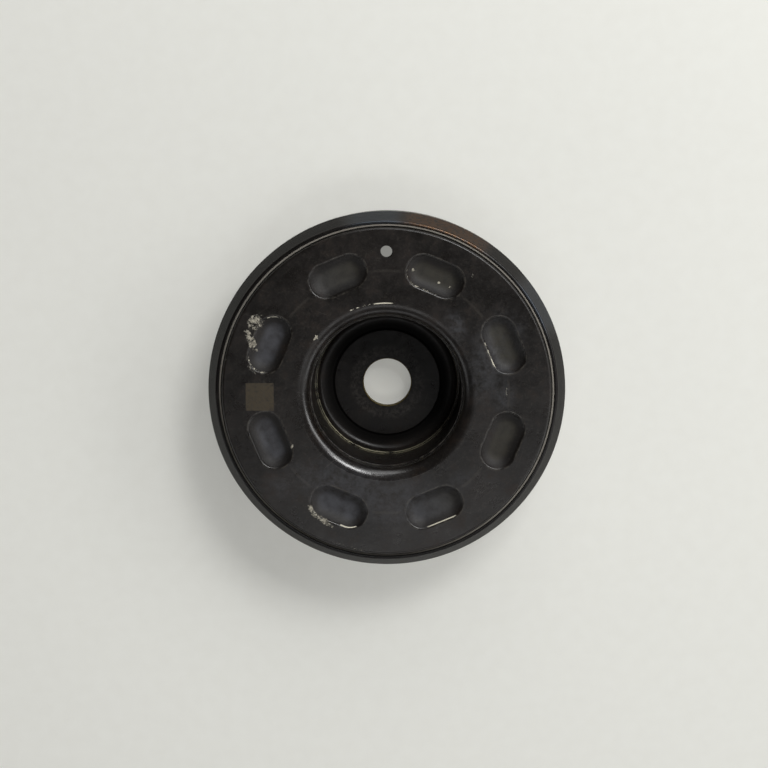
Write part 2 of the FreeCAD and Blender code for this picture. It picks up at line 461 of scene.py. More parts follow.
    def scratches(self, graph: Graph, place: Place) -> Any:
        """Thin straight scuffs in three directions, in loose clusters."""
        lines = 0.0
        for turn, grain in ((38.0, 0.35), (-21.0, 0.3), (72.0, 0.4)):
            wires = {"Vector": place.vector, "Rotation": (0, 0, math.radians(turn)),
                     "Scale": (14.0, grain, 30.0)}
            run = graph.add("ShaderNodeMapping", wires, vector_type="TEXTURE")
            fine = graph.add(NOISE, {"Vector": run, "Scale": 1.0, "Detail": 1.0})
            line = self.ramp(graph, fine.outputs[0], 0.70, 0.78)
            lines = self.joined(graph, Share.EITHER, line, lines)
        cluster = self.ramp(graph, self.noise(graph, place.vector, 16.0, 1.0), 0.47, 0.62)
        return self.joined(graph, Share.BOTH, lines, cluster)

    def mark_mask(self, graph: Graph, place: Place) -> Any:
        """The plain square patch on the left of the web."""
        x, y = self.mark_centre
        wide = self.band(graph, place.x, x, self.mark_half, 0.3)
        high = self.band(graph, place.y, y, self.mark_half, 0.3)
        return self.joined(graph, Share.BOTH, wide, high)

    def cup_marks(self, graph: Graph, place: Place, colour: Any, blotch: Any,
                  thin: Any) -> tuple[Any, Any, Any]:
        """Lays the cup's bare edges, with a painted highlight on the ledge's lower left, the bolt's mark,
        grime and painted shade in the channel and painted shade on the seat over the coat.

        Args:
            graph: the material's nodes.
            place: the point's place.
            colour: the colour so far.
            blotch: uneven noise.
            thin: a mask of spots where the coat has thinned.

        Returns:
            The colour, the mask of bare metal and the mask of grime and painted shade.
        """
        step = self.joined(graph, Share.BOTH, self.band(graph, place.height, self.step_height, 0.25, 0.3),
                           self.band(graph, place.radius, self.step_radius, 0.3, 0.15), thin)
        colour = self.over(graph, colour, self.joined(graph, Share.BOTH, step, 0.5), self.lip_wear)
        edges = self.joined(graph, Share.EITHER, self.band(graph, place.radius, self.ledge_inner, 0.11, 0.09),
                            self.band(graph, place.radius, self.ledge_outer, 0.06, 0.08))
        # The ledge's pale worn edge is painted stronger round this angle, at the lower left, as a painted
        # highlight.
        painted_highlight_side = self.band(graph, place.angle, self.ledge_highlight_angle, 40.0, 50.0)
        ledge = self.joined(graph, Share.BOTH, edges,
                            self.band(graph, place.height, self.ledge_height, 0.35, 0.3),
                            self.ramp(graph, blotch, 0.30, 0.50), self.level(graph, 0.35, painted_highlight_side, 1.0))
        colour = self.over(graph, colour, ledge, self.ledge)
        # Grime in the channel round the seat, which is also painted shade in this recess.
        beyond = self.ramp(graph, place.radius, self.seat_radius, self.seat_radius + 0.2)
        under = self.ramp(graph, place.height, self.ledge_height - 0.2, self.ledge_height - 1.8)
        channel = self.joined(graph, Share.BOTH, beyond, under,
                              self.ramp(graph, place.radius, self.grime_and_shade_outer, self.grime_and_shade_inner, 0.95))
        colour = self.over(graph, colour, channel, self.grime_and_shade)

        # Painted shade: the seat at the bottom of the cup is darkened.
        seat = self.band(graph, place.height, self.seat_height, 0.3, 0.2)
        within = self.ramp(graph, place.radius, self.seat_radius + 0.9, self.seat_radius - 0.1)
        colour = self.over(graph, colour, self.joined(graph, Share.BOTH, seat, within, 0.6), self.seat_painted_shade)
        scuff = self.ramp(graph, self.noise(graph, place.vector, 1.4, 5.0, 0.75), 0.38, 0.66)
        ring = self.joined(graph, Share.BOTH,
                           self.ramp(graph, place.radius, self.bolt_radius + 0.8, self.bolt_radius - 1.5),
                           self.ramp(graph, place.radius, self.hole_radius - 0.3, self.hole_radius + 2.2),
                           seat, scuff, 0.4)
        colour = self.over(graph, colour, ring, self.seat_scuff)
        low = self.ramp(graph, place.height, self.seat_height + 1.5, self.seat_height + 0.5)
        wall = self.ramp(graph, place.radius, self.hole_radius + 0.35, self.hole_radius + 0.15)
        wall = self.joined(graph, Share.BOTH, wall, low)
        colour = self.over(graph, colour, self.joined(graph, Share.BOTH, wall, 0.85), self.hole_wall)
        return colour, self.joined(graph, Share.EITHER, ledge, wall), channel

    def dress(self, graph: Graph, shader: bpy.types.Node, place: Place) -> None:
        """Lays wear, dust, chips and the bare machined edges over the coat, with painted sheen on the scuffs
        and pocket floors, a painted highlight on a crease ring and painted shade in the cup.
        """
        vector = place.vector
        front_height = self.web_height - self.front_depth
        front = self.ramp(graph, place.height, front_height, front_height + 1.0)
        distance = self.pocket_distance(graph, place)
        lip = self.joined(graph, Share.BOTH, self.band(graph, distance, 0.3, 0.6, 0.5), front)
        edge = self.joined(graph, Share.BOTH, self.band(graph, distance, -0.30, 0.12, 0.14), front)
        mottle = self.noise(graph, vector, 22.0, 4.0)
        blotch = self.noise(graph, vector, 7.0, 5.0, 0.65)
        grain = self.noise(graph, vector, 0.8, 3.0)
        fine = self.noise(graph, vector, 0.35, 2.0)
        thin = self.ramp(graph, self.noise(graph, vector, 2.2, 3.0), 0.40, 0.66)

        colour = self.over(graph, self.coat, self.ramp(graph, mottle, 0.38, 0.68, 0.8), self.coat_worn)
        colour = self.over(graph, colour, self.ramp(graph, blotch, 0.50, 0.72, 0.55), self.rust_film)
        colour = self.over(graph, colour, self.ramp(graph, grain, 0.50, 0.80, 0.25), self.dust)
        colour = self.over(graph, colour, self.ramp(graph, fine, 0.68, 0.78, 0.4), self.dust)
        scuff_and_sheen = self.scuff_and_sheen_of(graph, place, front)
        # The scuffs' lighter colour is also a painted sheen.
        colour = self.over(graph, colour, self.joined(graph, Share.BOTH, scuff_and_sheen, 0.55), self.scuff_and_sheen)
        lines = self.scratches(graph, place)
        colour = self.over(graph, colour, self.joined(graph, Share.BOTH, lines, 0.25), self.lip_wear)

        inside = self.joined(graph, Share.BOTH, self.ramp(graph, distance, -1.7, -4.6), front)
        dull = self.joined(graph, Share.BOTH, self.ramp(graph, distance, 0.0, -1.2), front)
        # Dust in the pocket floors, with a painted sheen: lighter and bluer towards the lower left, darker
        # and browner towards the upper right.
        slant = graph.add(MATH, {0: place.y, 1: 0.6, 2: place.x}, operation="MULTIPLY_ADD").outputs[0]
        side = self.ramp(graph, slant, -30.0, 20.0)
        pocket_dust_and_sheen = self.over(graph, self.pocket_dust_and_sheen_left, side, self.pocket_dust_and_shade_right)
        film = self.ramp(graph, self.noise(graph, vector, 4.0, 5.0, 0.6), 0.05, 0.75)
        colour = self.over(graph, colour, self.joined(graph, Share.BOTH, inside, film, 0.85), pocket_dust_and_sheen)

        worn_lip = self.joined(graph, Share.BOTH, self.band(graph, distance, 0.35, 0.15, 0.3), front, thin)
        colour = self.over(graph, colour, self.joined(graph, Share.BOTH, worn_lip, 0.40), self.lip_wear)
        # Painted highlight: a faint pale ring where a shallow pressed crease would catch the light; the mesh
        # has no crease.
        crease_highlight = self.joined(graph, Share.BOTH, self.band(graph, place.radius, self.crease_highlight_radius, 0.2, 0.6),
                             self.ramp(graph, distance, 1.6, 3.0), front, 0.15)
        colour = self.over(graph, colour, crease_highlight, self.lip_wear)
        colour, bare, grime_and_shade = self.cup_marks(graph, place, colour, blotch, thin)
        mark = self.joined(graph, Share.BOTH, self.mark_mask(graph, place), front,
                           self.ramp(graph, self.noise(graph, vector, 1.2, 4.0, 0.7), 0.1, 0.6, 0.9))
        colour = self.over(graph, colour, mark, self.mark)

        whole = self.band(graph, place.angle, self.arc_solid_angle, 4.0, 2.0)
        whole = self.joined(graph, Share.BOTH, whole, 0.2)
        broken = graph.add(MATH, {0: self.noise(graph, vector, 1.3, 4.0, 0.7), 1: whole}, operation="ADD")
        arc = self.joined(graph, Share.BOTH, self.band(graph, place.radius, self.shoulder_radius, 0.14, 0.16),
                          self.band(graph, place.angle, self.arc_angle, 12.0, 3.0), front,
                          self.ramp(graph, broken.outputs[0], 0.52, 0.58))
        flakes = self.joined(graph, Share.EITHER, self.chips_of(graph, place, Rubbed.PATCH, front),
                             self.chips_of(graph, place, Rubbed.LIP, lip))
        edges = self.joined(graph, Share.EITHER, arc, self.chips_of(graph, place, Rubbed.EDGE, edge))
        chips = self.joined(graph, Share.EITHER, flakes, edges)
        tone = self.over(graph, self.chip_grey, self.ramp(graph, grain, 0.35, 0.55), self.chip)
        colour = self.over(graph, colour, flakes, tone)
        colour = self.over(graph, colour, edges, self.bright_edge)

        rolled = self.joined(graph, Share.BOTH,
                             self.band(graph, place.radius, self.rolled_radius, 1.9, 1.0), front,
                             self.band(graph, place.angle, self.rolled_angle, 45.0, 35.0),
                             self.ramp(graph, self.noise(graph, vector, 3.0, 4.0, 0.7), 0.2, 0.45))
        rough: Any = self.coat_roughness
        for mask, amount in ((self.ramp(graph, blotch, 0.35, 0.75), self.worn_roughness),
                             (dull, self.pocket_roughness), (scuff_and_sheen, self.dusty_roughness),
                             (grime_and_shade, self.chip_roughness), (mark, self.chip_roughness),
                             (chips, self.chip_roughness), (bare, self.bare_roughness),
                             (rolled, self.rolled_roughness)):
            rough = self.level(graph, rough, mask, amount)
        low = self.ramp(graph, place.height, self.seat_height + 0.6, self.seat_height + 0.2)
        gloss: Any = self.coat_gloss
        for mask, amount in ((low, self.cup_gloss), (grime_and_shade, self.grime_and_shade_gloss), (rolled, self.rolled_gloss)):
            gloss = self.level(graph, gloss, mask, amount)
        graph.tree.links.new(colour, shader.inputs["Base Color"])
        graph.tree.links.new(rough, shader.inputs["Roughness"])
        graph.tree.links.new(self.joined(graph, Share.BOTH, bare, 0.7), shader.inputs["Metallic"])
        graph.tree.links.new(gloss, shader.inputs["Specular IOR Level"])

        height = graph.add(MATH, {0: grain, 1: 0.010, 2: 0.0}, operation="MULTIPLY_ADD")
        height = graph.add(MATH, {0: blotch, 1: 0.10, 2: height}, operation="MULTIPLY_ADD")
        height = graph.add(MATH, {0: chips, 1: -0.05, 2: height}, operation="MULTIPLY_ADD").outputs[0]
        self.relief(graph, shader, height, 1.0)


@dataclass(frozen=True)
class TurnedSteel(Finish):
    """Turned steel under a thin black coat: circular tool marks, tempering colours, polished flanks.

    Real tool marks lie about 0.1 mm apart. These are 0.2 and 0.6 mm apart, so that they show.
    """

    title: str = "thin_black_coat_on_turned_steel"
    coat: str = "#141211"
    coat_thin: str = "#2b2825"
    copper_film: str = "#2b1f18"
    copper_gloss: str = "#f2c39c"
    blue_gloss: str = "#cfdcec"
    flank: str = "#77736d"
    root: str = "#2a221c"
    coat_roughness: float = 0.24
    dull_roughness: float = 0.38
    flank_roughness: float = 0.30
    plain_gloss: float = 0.27
    tempered_gloss: float = 0.9
    copper_angle: float = 70.0
    copper_reach: float = 11.0
    blue_angles: tuple[float, ...] = (94.0, 30.0)
    blue_reach: float = 5.0
    tool_spacing: float = 0.2
    coarse_spacing: float = 0.625
    groove_top: float = 25.8
    groove_bottom: float = 5.2
    root_radius: float = 67.6

    def dress(self, graph: Graph, shader: bpy.types.Node, place: Place) -> None:
        """Lays tool marks, tempering colours and the belt's polish over the coat."""
        rings = graph.add("ShaderNodeCombineXYZ", {0: place.radius, 1: place.height}).outputs[0]
        coarse = graph.add(NOISE, {"Vector": rings, "Scale": 1 / self.coarse_spacing, "Detail": 3.0},
                           noise_dimensions="2D").outputs[0]
        tool = graph.add(NOISE, {"Vector": rings, "Scale": 1 / self.tool_spacing, "Detail": 2.0},
                         noise_dimensions="2D").outputs[0]
        mottle = self.noise(graph, place.vector, 9.0, 4.0)
        grain = self.noise(graph, place.vector, 1.1, 4.0, 0.65)
        colour = self.over(graph, self.coat, self.ramp(graph, coarse, 0.42, 0.68, 0.6), self.coat_thin)
        colour = self.over(graph, colour, self.ramp(graph, mottle, 0.50, 0.75, 0.4), self.coat_thin)

        front = self.ramp(graph, place.height, self.groove_top + 0.2, self.groove_top + 1.0)
        patchy = self.ramp(graph, grain, 0.25, 0.60)
        copper = self.band(graph, place.angle, self.copper_angle, self.copper_reach, 7.0)
        copper = self.joined(graph, Share.BOTH, copper, front, patchy)
        colour = self.over(graph, colour, copper, self.copper_film)
        blue = 0.0
        for angle in self.blue_angles:
            near = self.band(graph, place.angle, angle, self.blue_reach, 8.0)
            blue = self.joined(graph, Share.EITHER, near, blue)
        blue = self.joined(graph, Share.BOTH, blue, front)
        gloss = self.over(graph, "#ffffff", copper, self.copper_gloss)
        gloss = self.over(graph, gloss, blue, self.blue_gloss)

        low = self.ramp(graph, place.height, self.groove_bottom, self.groove_bottom + 0.4)
        high = self.ramp(graph, place.height, self.groove_top + 1.0, self.groove_top + 0.4)
        outside = self.ramp(graph, place.radius, self.root_radius - 1.0, self.root_radius - 0.6)
        grooves = self.joined(graph, Share.BOTH, low, high, outside)
        polish = self.joined(graph, Share.BOTH, grooves, self.ramp(graph, coarse, 0.2, 0.6),
                             self.ramp(graph, place.radius, self.root_radius + 0.2, self.root_radius + 0.9))
        depth = self.joined(graph, Share.BOTH, grooves,
                            self.ramp(graph, place.radius, self.root_radius + 0.6, self.root_radius + 0.1))
        colour = self.over(graph, colour, self.joined(graph, Share.BOTH, polish, 0.8), self.flank)
        colour = self.over(graph, colour, depth, self.root)
        rough = self.level(graph, self.coat_roughness, self.ramp(graph, tool, 0.3, 0.7), self.dull_roughness)
        rough = self.level(graph, rough, polish, self.flank_roughness)
        graph.tree.links.new(colour, shader.inputs["Base Color"])
        graph.tree.links.new(rough, shader.inputs["Roughness"])
        tempered = self.joined(graph, Share.EITHER, copper, blue)
        graph.tree.links.new(gloss, shader.inputs["Specular Tint"])
        graph.tree.links.new(self.level(graph, self.plain_gloss, tempered, self.tempered_gloss),
                             shader.inputs["Specular IOR Level"])
        graph.tree.links.new(self.joined(graph, Share.BOTH, polish, 0.85), shader.inputs["Metallic"])
        height = graph.add(MATH, {0: coarse, 1: 0.03, 2: 0.0}, operation="MULTIPLY_ADD")
        height = graph.add(MATH, {0: tool, 1: 0.012, 2: height}, operation="MULTIPLY_ADD").outputs[0]
        self.relief(graph, shader, height, 0.8)


@dataclass(frozen=True)
class BloomedRubber(Finish):
    """Vulcanised rubber: matt black greyed by bloom, with a pale line along its front edge that is partly
    dust and partly a painted highlight, painted dimmer at the bottom as painted shade.
    """

    title: str = "vulcanised_rubber_with_bloom"
    rubber: str = "#191715"
    bloom: str = "#4a4741"
    dust_and_highlight_line: str = "#8a857c"
    roughness: float = 0.85
    line_radius: float = 66.5
    line_half: float = 0.32
    line_shade_angle: float = -100.0
    front_height: float = 34.0

    def dress(self, graph: Graph, shader: bpy.types.Node, place: Place) -> None:
        """Lays uneven bloom and the pale line, dust and painted highlight, over dark rubber."""
        patch = self.noise(graph, place.vector, 6.0, 5.0, 0.6)
        grit = self.noise(graph, place.vector, 0.6, 3.0)
        colour = self.over(graph, self.rubber, self.ramp(graph, patch, 0.35, 0.70, 0.7), self.bloom)
        colour = self.over(graph, colour, self.ramp(graph, grit, 0.55, 0.80, 0.5), self.rubber)
        front = self.ramp(graph, place.height, self.front_height, self.front_height + 0.5)
        # Painted shade: the pale line is painted dimmer round this angle, at the bottom.
        bare = self.band(graph, place.angle, self.line_shade_angle, 16.0, 25.0)
        line = self.joined(graph, Share.BOTH,
                           self.band(graph, place.radius, self.line_radius, self.line_half, 0.12),
                           front, self.ramp(graph, grit, 0.15, 0.45), self.level(graph, 1.0, bare, 0.3))
        colour = self.over(graph, colour, line, self.dust_and_highlight_line)
        graph.tree.links.new(colour, shader.inputs["Base Color"])
        shader.inputs["Roughness"].default_value = self.roughness
        height = graph.add(MATH, {0: grit, 1: 0.04}, operation="MULTIPLY").outputs[0]
        self.relief(graph, shader, height, 1.0)


def outline(corners: Sequence[Corner], closed: bool, arc_step: float = 9.0,
            support: float = 0.2) -> list[Point]:
    """Turns corners with radii into a line with smooth arcs, with a close point beside each arc.

    Args:
        corners: across, up and arc radius of each corner, in millimetres.
        closed: whether the last corner joins the first.
        arc_step: degrees between the points of an arc.
        support: how far the close points lie from an arc's ends, in millimetres.

    Returns:
        The line's points in millimetres.
    """
    count = len(corners)
    spots = [np.array(corner[:2]) for corner in corners]
    radii = [0.0 if not closed and i in (0, count - 1) else corners[i][2] for i in range(count)]
    back = [spots[i - 1] - spots[i] for i in range(count)]
    ahead = [spots[(i + 1) % count] - spots[i] for i in range(count)]
    rooms = [float(np.linalg.norm(side)) for side in ahead]
    reaches: list[float] = []
    halves: list[float] = []
    for i in range(count):
        half = math.acos(float(np.clip(back[i] @ ahead[i] / (rooms[i - 1] * rooms[i]), -1, 1))) / 2
        halves.append(half)
        reaches.append(radii[i] / math.tan(half))
    line: list[Point] = []

    def put(point: np.ndarray) -> None:
        """Adds a point unless it repeats the last one."""
        if not line or math.dist(line[-1], point) > 1e-5:
            line.append((float(point[0]), float(point[1])))

    for i, here in enumerate(spots):
        if radii[i] <= 0:
            put(here)
            continue
        before, after = back[i] / rooms[i - 1], ahead[i] / rooms[i]
        centre = here + (before + after) / np.linalg.norm(before + after) * radii[i] / math.sin(halves[i])
        start, end = here + before * reaches[i] - centre, here + after * reaches[i] - centre
        swing = math.atan2(start[0] * end[1] - start[1] * end[0], float(start @ end))
        steps = max(3, math.ceil(abs(math.degrees(swing)) / arc_step))
        if rooms[i - 1] > reaches[i - 1] + reaches[i] + 3 * support:
            put(here + before * (reaches[i] + support))
        for k in range(steps + 1):
            turn = swing * k / steps
            spin = np.array(((math.cos(turn), -math.sin(turn)), (math.sin(turn), math.cos(turn))))
            put(centre + spin @ start)
        if rooms[i] > reaches[i] + reaches[(i + 1) % count] + 3 * support:
            put(here + after * (reaches[i] + support))
    return line


def mesh_of(name: str, points: Iterable[Sequence[float]], faces: Iterable[Sequence[int]]) -> bpy.types.Mesh:
    """Makes a mesh from points in millimetres.

    Args:
        name: the mesh's name.
        points: its vertices in millimetres.
        faces: its faces, as vertex numbers.

    Returns:
        The mesh, in metres.
    """
    mesh = bpy.data.meshes.new(name)
    mesh.from_pydata([tuple(c * MM for c in point) for point in points], [], list(faces))
    return mesh


def turned_sector(name: str, lines: Sequence[list[Point]], closed: bool, sweep: float,
                  steps: int) -> bpy.types.Object:
    """Turns lines in radius and height about the axis through part of a circle.

    Args:
        name: the object's name.
        lines: the lines to turn.
        closed: whether each line is a loop.
        sweep: how far to turn, in degrees.
        steps: how many steps to take.

    Returns:
        An object that is only a pattern for copies.
    """
    points: list[tuple[float, float, float]] = []
    faces: list[tuple[int, int, int, int]] = []
    for line in lines:
        first, size = len(points), len(line)
        for k in range(steps + 1):
            turn = math.radians(sweep * k / steps)
            points += [(r * math.cos(turn), r * math.sin(turn), h) for r, h in line]
        for k in range(steps):
            for j in range(size if closed else size - 1):
                a, b = first + k * size + j, first + k * size + (j + 1) % size
                faces.append((a, b, b + size, a + size))
    return bpy.data.objects.new(name, mesh_of(name, points, faces))


class RepeatTree:
    """Geometry nodes that set copies of a pattern round the pulley's axis and merge them with a base."""

    def __init__(self) -> None:
        """Builds the tree with its named inputs."""
        self.tree = bpy.data.node_groups.new("repeat_round_the_axis", "GeometryNodeTree")
        kinds = (("Base", "NodeSocketGeometry"), ("Pattern", "NodeSocketObject"), ("Count", "NodeSocketInt"),
                 ("First Angle", "NodeSocketFloat"), ("Merge Distance", "NodeSocketFloat"),
                 ("Material", "NodeSocketMaterial"))
        face = self.tree.interface
        self.sockets = {name: face.new_socket(name, in_out="INPUT", socket_type=kind).identifier
                        for name, kind in kinds}
        face.new_socket("Geometry", in_out="OUTPUT", socket_type="NodeSocketGeometry")
        graph = Graph(self.tree)
        given = graph.add("NodeGroupInput").outputs
        step = graph.add(MATH, {0: FULL_TURN, 1: given["Count"]}, operation="DIVIDE")
        index = graph.add("GeometryNodeInputIndex")
        turn = graph.add(MATH, {0: index, 1: step, 2: given["First Angle"]}, operation="MULTIPLY_ADD")
        turn = graph.add(MATH, {0: turn}, operation="RADIANS")
        spin = graph.add("ShaderNodeCombineXYZ", {2: turn})
        spots = graph.add("GeometryNodePoints", {"Count": given["Count"]})
        pattern = graph.add("GeometryNodeObjectInfo", {"Object": given["Pattern"]})
        copies = graph.add("GeometryNodeInstanceOnPoints",
                           {"Points": spots, "Instance": pattern.outputs["Geometry"], "Rotation": spin})
        real = graph.add("GeometryNodeRealizeInstances", {0: copies})
        whole = graph.add("GeometryNodeJoinGeometry", {0: real})
        self.tree.links.new(given["Base"], whole.inputs[0])
        merged = graph.add("GeometryNodeMergeByDistance",
                           {"Geometry": whole, "Distance": given["Merge Distance"]})
        dressed = graph.add("GeometryNodeSetMaterial", {"Geometry": merged, "Material": given["Material"]})
        graph.add("NodeGroupOutput", {0: dressed})

    def apply(self, piece: bpy.types.Object, pattern: bpy.types.Object, count: int, first: float,
              material: bpy.types.Material) -> None:
        """Adds the copies to a piece.

        Args:
            piece: the piece that gets the copies.
            pattern: the object that is copied.
            count: how many copies go round the axis.
            first: the first copy's angle in degrees.
            material: the material of the whole piece.
        """
        modifier = piece.modifiers.new(pattern.name, "NODES")
        modifier.node_group = self.tree
        values = {"Pattern": pattern, "Count": count, "First Angle": first,
                  "Merge Distance": MERGE_MM * MM, "Material": material}
        for name, value in values.items():
            modifier[self.sockets[name]] = value


def finished(piece: bpy.types.Object, sharp: float = 32.0) -> bpy.types.Object:
    """Turns a piece and its modifiers into one plain closed mesh with smooth rounds and crisp edges.

    Args:
        piece: the piece with its modifiers.
        sharp: edges that turn by more degrees than this stay crisp.

    Returns:
        The same piece.
    """
    bpy.context.view_layer.update()
    graph = bpy.context.evaluated_depsgraph_get()
    mesh = bpy.data.meshes.new_from_object(piece.evaluated_get(graph))
    piece.modifiers.clear()
    piece.data = mesh
    solid = bmesh.new()
    solid.from_mesh(mesh)
    bmesh.ops.remove_doubles(solid, verts=solid.verts, dist=MERGE_MM * MM)
    bmesh.ops.recalc_face_normals(solid, faces=solid.faces)
    open_edges = sum(1 for edge in solid.edges if not edge.is_manifold)
    solid.to_mesh(mesh)
    solid.free()
    mesh.shade_smooth()
    mesh.set_sharp_from_angle(angle=math.radians(sharp))
    LOG.info("%s: %d faces, %d open edges", piece.name, len(mesh.polygons), open_edges)
    return piece


@dataclass
class Track:
    """The stepped rubber track that the three pieces share, in millimetres."""

    top: float
    disc_radius: float
    step: float = 2.2
    start_depth: float = 8.2
    angle: float = 40.0
    bend: float = 2.0

    def corners(self, offset: float) -> tuple[Corner, Corner]:
        """The track's two bends, this far outside the hub disc's flange."""
        turn = math.radians(self.angle)
        front_depth = self.start_depth + offset * math.tan(turn / 2)
        rear_depth = front_depth + self.step / math.tan(turn)
        front = self.disc_radius + offset
        rear = front - self.step
        return (front, self.top - front_depth, self.bend), (rear, self.top - rear_depth, self.bend)


@dataclass
class Shop:
    """What every piece is made with: the repeat tree and how finely circles are drawn."""

    repeat: RepeatTree = field(default_factory=RepeatTree)
    sectors: int = 24
    steps: int = 12

    @property
    def circle_points(self) -> int:
        """How many points a full circle has."""
        return self.sectors * self.steps

    def piece(self, name: str, mesh: Optional[bpy.types.Mesh] = None) -> bpy.types.Object:
        """A new piece in the scene, empty unless it is given a mesh."""
        made = bpy.data.objects.new(name, mesh or bpy.data.meshes.new(name))
        bpy.context.scene.collection.objects.link(made)
        return made

    def turn(self, piece: bpy.types.Object, lines: Sequence[list[Point]], closed: bool,
             material: bpy.types.Material) -> None:
        """Adds lines turned right round the axis to a piece, as copies of one narrow sector."""
        pattern = turned_sector(piece.name + "_sector", lines, closed, FULL_TURN / self.sectors, self.steps)
        self.repeat.apply(piece, pattern, self.sectors, 0.0, material)

    def hand_over(self, piece: bpy.types.Object, node: str, slot: str) -> None:
        """Finishes a piece and lets it stand for its node."""
        finished(piece)
        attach(piece, "root")
        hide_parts(node)


@dataclass
class HubDisc:
    """The pressed and machined steel disc."""

    shop: Shop
    track: Track
    finish: DippedSteel
    rear: float
    sheet: float = 3.4
    edge_radius: float = 1.1
    inner_bend: float = 1.0
    shoulder: float = 5.0
    cup_radius: float = 30.6
    cup_rear_draft: float = 0.8
    step_depth: float = 5.3
    bore_top: float = 30.1
    bore_draft: float = 0.4
    ledge_depth: float = 27.9
    ledge_width: float = 0.9
    ledge_bevel: float = 0.3
    corner_radius: float = 3.0
    cup_rear_radius: float = 3.4
    seat_depth: float = 30.5
    seat_radius: float = 21.6
    seat_slope: float = 0.9
    channel_depth: float = 0.8
    hub_thickness: float = 3.6
    hole_radius: float = 9.8
    hole_chamfer: float = 0.3
    pocket_depth: float = 3.0
    pocket_slope: float = 2.4
    lip_radius: float = 1.0
    floor_radius: float = 6.0
    back_radius: float = 6.5
    drawn_wall: float = 1.2
    drawn_floor: float = 2.9
    root_radius: float = 1.0
    pocket_margin: float = 0.4
    timing_radius: float = 2.3
    timing_place: float = 56.1
    timing_break: float = 0.25
    timing_points: int = 48
    margin: float = 0.2
    bend_gap: float = 0.04
    edge_break: float = 0.15

    @property
    def web_inner(self) -> float:
        """Radius at which the web's two flat faces begin, outside the shoulder."""
        return self.cup_radius + self.shoulder + self.margin

    @property
    def front_outer(self) -> float:
        """Radius at which the web's flat front ends and its rounded edge begins."""
        return self.track.disc_radius - self.edge_radius - self.margin

    @property
    def rear_outer(self) -> float:
        """Radius at which the web's flat rear ends and the bend to the flange begins."""
        return self.track.disc_radius - self.sheet - self.inner_bend - self.bend_gap

    def height(self, depth: float) -> float:
        """Height of a point this far behind the web's front plane."""
        return self.track.top - depth

    def inner_line(self) -> list[Point]:
        """From the web's front plane down through the cup and hub and back up to the web's rear plane."""
        lower = self.bore_top - self.bore_draft - self.ledge_width
        seat = self.height(self.seat_depth)
        rear = self.height(self.seat_depth + self.hub_thickness)
        channel = self.height(self.seat_depth + self.channel_depth)
        outer = self.cup_radius + self.sheet
        return outline([
            (self.web_inner, self.height(0), 0),
            (self.cup_radius, self.height(0), self.shoulder),
            (self.cup_radius, self.height(self.step_depth), 0),
            (self.bore_top, self.height(self.step_depth), self.edge_break),
            (lower + self.ledge_width, self.height(self.ledge_depth), 0),
            (lower + self.ledge_bevel, self.height(self.ledge_depth), self.edge_break),
            (lower, self.height(self.ledge_depth + self.ledge_bevel), 0),
            (lower, channel, self.corner_radius),
            (self.seat_radius + self.seat_slope, channel, self.edge_break),
            (self.seat_radius, seat, self.edge_break),
            (self.hole_radius + self.hole_chamfer, seat, 0),
            (self.hole_radius, seat - self.hole_chamfer, 0),
            (self.hole_radius, rear + self.hole_chamfer, 0),
            (self.hole_radius + self.hole_chamfer, rear, 0),
            (outer - self.cup_rear_draft, rear, self.cup_rear_radius),
            (outer, self.height(self.sheet), self.shoulder - self.sheet),
            (self.web_inner, self.height(self.sheet), 0),
        ], closed=False)

    def outer_line(self) -> list[Point]:
        """From the web's rear plane round the stepped flange and its rear edge to the web's front plane."""
        outside, inside = self.track.corners(0), self.track.corners(-self.sheet)
        radius = self.track.disc_radius
        return outline([
            (self.rear_outer, self.height(self.sheet), 0),
            (radius - self.sheet, self.height(self.sheet), self.inner_bend),
            inside[0],
            inside[1],
            (inside[1][0], self.rear, self.edge_break * 2),
            (outside[1][0], self.rear, self.edge_break * 2),
            outside[1],
            outside[0],
            (radius, self.height(0), self.edge_radius),
            (self.front_outer, self.height(0), 0),
        ], closed=False)

    def pocket_ring(self, away: float) -> list[Point]:
        """Points round a pocket on the +X side of the axis, this far from its middle line."""
        half, circle = self.finish.pocket_half_straight, self.finish.pocket_circle
        ends, sides = 28, 8
        ring: list[Point] = []
        for side in (1, -1):
            for k in range(ends):
                turn = math.pi * k / ends
                ring.append((circle + side * away * math.cos(turn), side * (half + away * math.sin(turn))))
            for k in range(sides):
                ring.append((circle - side * away, side * half * (1 - 2 * k / sides)))
        return ring

    def patch_half_width(self) -> float:
        """Half the width of the piece of web that one pocket takes up."""
        rear_edge = self.drawn_wall + self.root_radius
        return self.finish.pocket_half_width + max(rear_edge, self.lip_radius) + self.pocket_margin

    def pocket_pattern(self) -> bpy.types.Object:
        """One pressed pocket, front and rear face, as a pattern for the copies."""
        half, floor = self.finish.pocket_half_width, self.height(self.pocket_depth)
        edge, flat = self.patch_half_width(), 1.0
        rear, back = self.height(self.sheet), floor - self.drawn_floor
        wall = half + self.drawn_wall
        faces_of = ([(edge, self.height(0), 0), (half, self.height(0), self.lip_radius),
                     (half - self.pocket_slope, floor, self.floor_radius), (flat, floor, 0)],
                    [(edge, rear, 0), (wall, rear, self.root_radius),
                     (wall - self.pocket_slope, back, self.back_radius), (flat, back, 0)])
        points: list[tuple[float, float, float]] = []
        faces: list[tuple[int, ...]] = []
        for corners in faces_of:
            line = outline(corners, closed=False, arc_step=11.0, support=0.12)
            first = len(points)
            for away, up in line:
                points += [(x, y, up) for x, y in self.pocket_ring(away)]
            size = len(self.pocket_ring(edge))
            for row in range(len(line) - 1):
                for k in range(size):
                    a, b = first + row * size + k, first + row * size + (k + 1) % size
                    faces.append((a, b, b + size, a + size))
            last = first + (len(line) - 1) * size
            faces.append(tuple(range(last, last + size)))
        return bpy.data.objects.new("pressed_pocket", mesh_of("pressed_pocket", points, faces))

